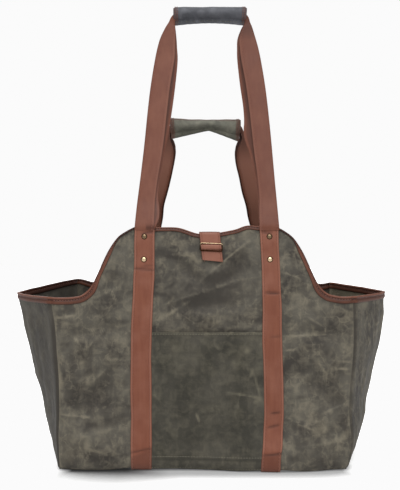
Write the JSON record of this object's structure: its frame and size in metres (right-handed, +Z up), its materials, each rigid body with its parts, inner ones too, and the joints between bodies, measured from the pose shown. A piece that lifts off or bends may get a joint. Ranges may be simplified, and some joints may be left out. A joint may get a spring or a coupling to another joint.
{
  "type": "log carrier",
  "caption": "Open waxed-canvas firewood tote with humped sides, creased gussets, a patch pocket, riveted leather straps, tall loop handles with sleeves and a closing tab.",
  "frame": {"origin": "on the floor under the middle of the bag", "axes": "+Z up, +X to the right seen from the pocket side, +Y from the pocket side to the back"},
  "size_m": [0.6396, 0.2756, 0.777],
  "materials": {
    "canvas": "olive-grey waxed canvas with pale crease marks",
    "pocket_canvas": "the same waxed canvas, smoother and darker",
    "grip_canvas": "grey waxed canvas sleeve",
    "strap_leather": "red-brown leather, satin",
    "binding_leather": "thin brown leather, folded",
    "brass": "polished brass"
  },
  "bodies": {
    "root": {"front_panel": "canvas", "back_panel": "canvas", "bottom_panel": "canvas", "left_gusset": "canvas", "right_gusset": "canvas", "front_pocket": "pocket_canvas", "front_grip": "grip_canvas", "back_grip": "grip_canvas", "front_left_strap": "strap_leather", "front_right_strap": "strap_leather", "back_left_strap": "strap_leather", "back_right_strap": "strap_leather", "left_bottom_strap": "strap_leather", "right_bottom_strap": "strap_leather", "front_handle": "strap_leather", "back_handle": "strap_leather", "closing_tab": "strap_leather", "front_rim_binding": "binding_leather", "back_rim_binding": "binding_leather", "left_rim_binding": "binding_leather", "right_rim_binding": "binding_leather", "tab_slide": "brass", "front_left_rivet_upper": "brass", "front_left_rivet_lower": "brass", "front_right_rivet_upper": "brass", "front_right_rivet_lower": "brass", "back_left_rivet_upper": "brass", "back_left_rivet_lower": "brass", "back_right_rivet_upper": "brass", "back_right_rivet_lower": "brass"}
  },
  "joints": []
}
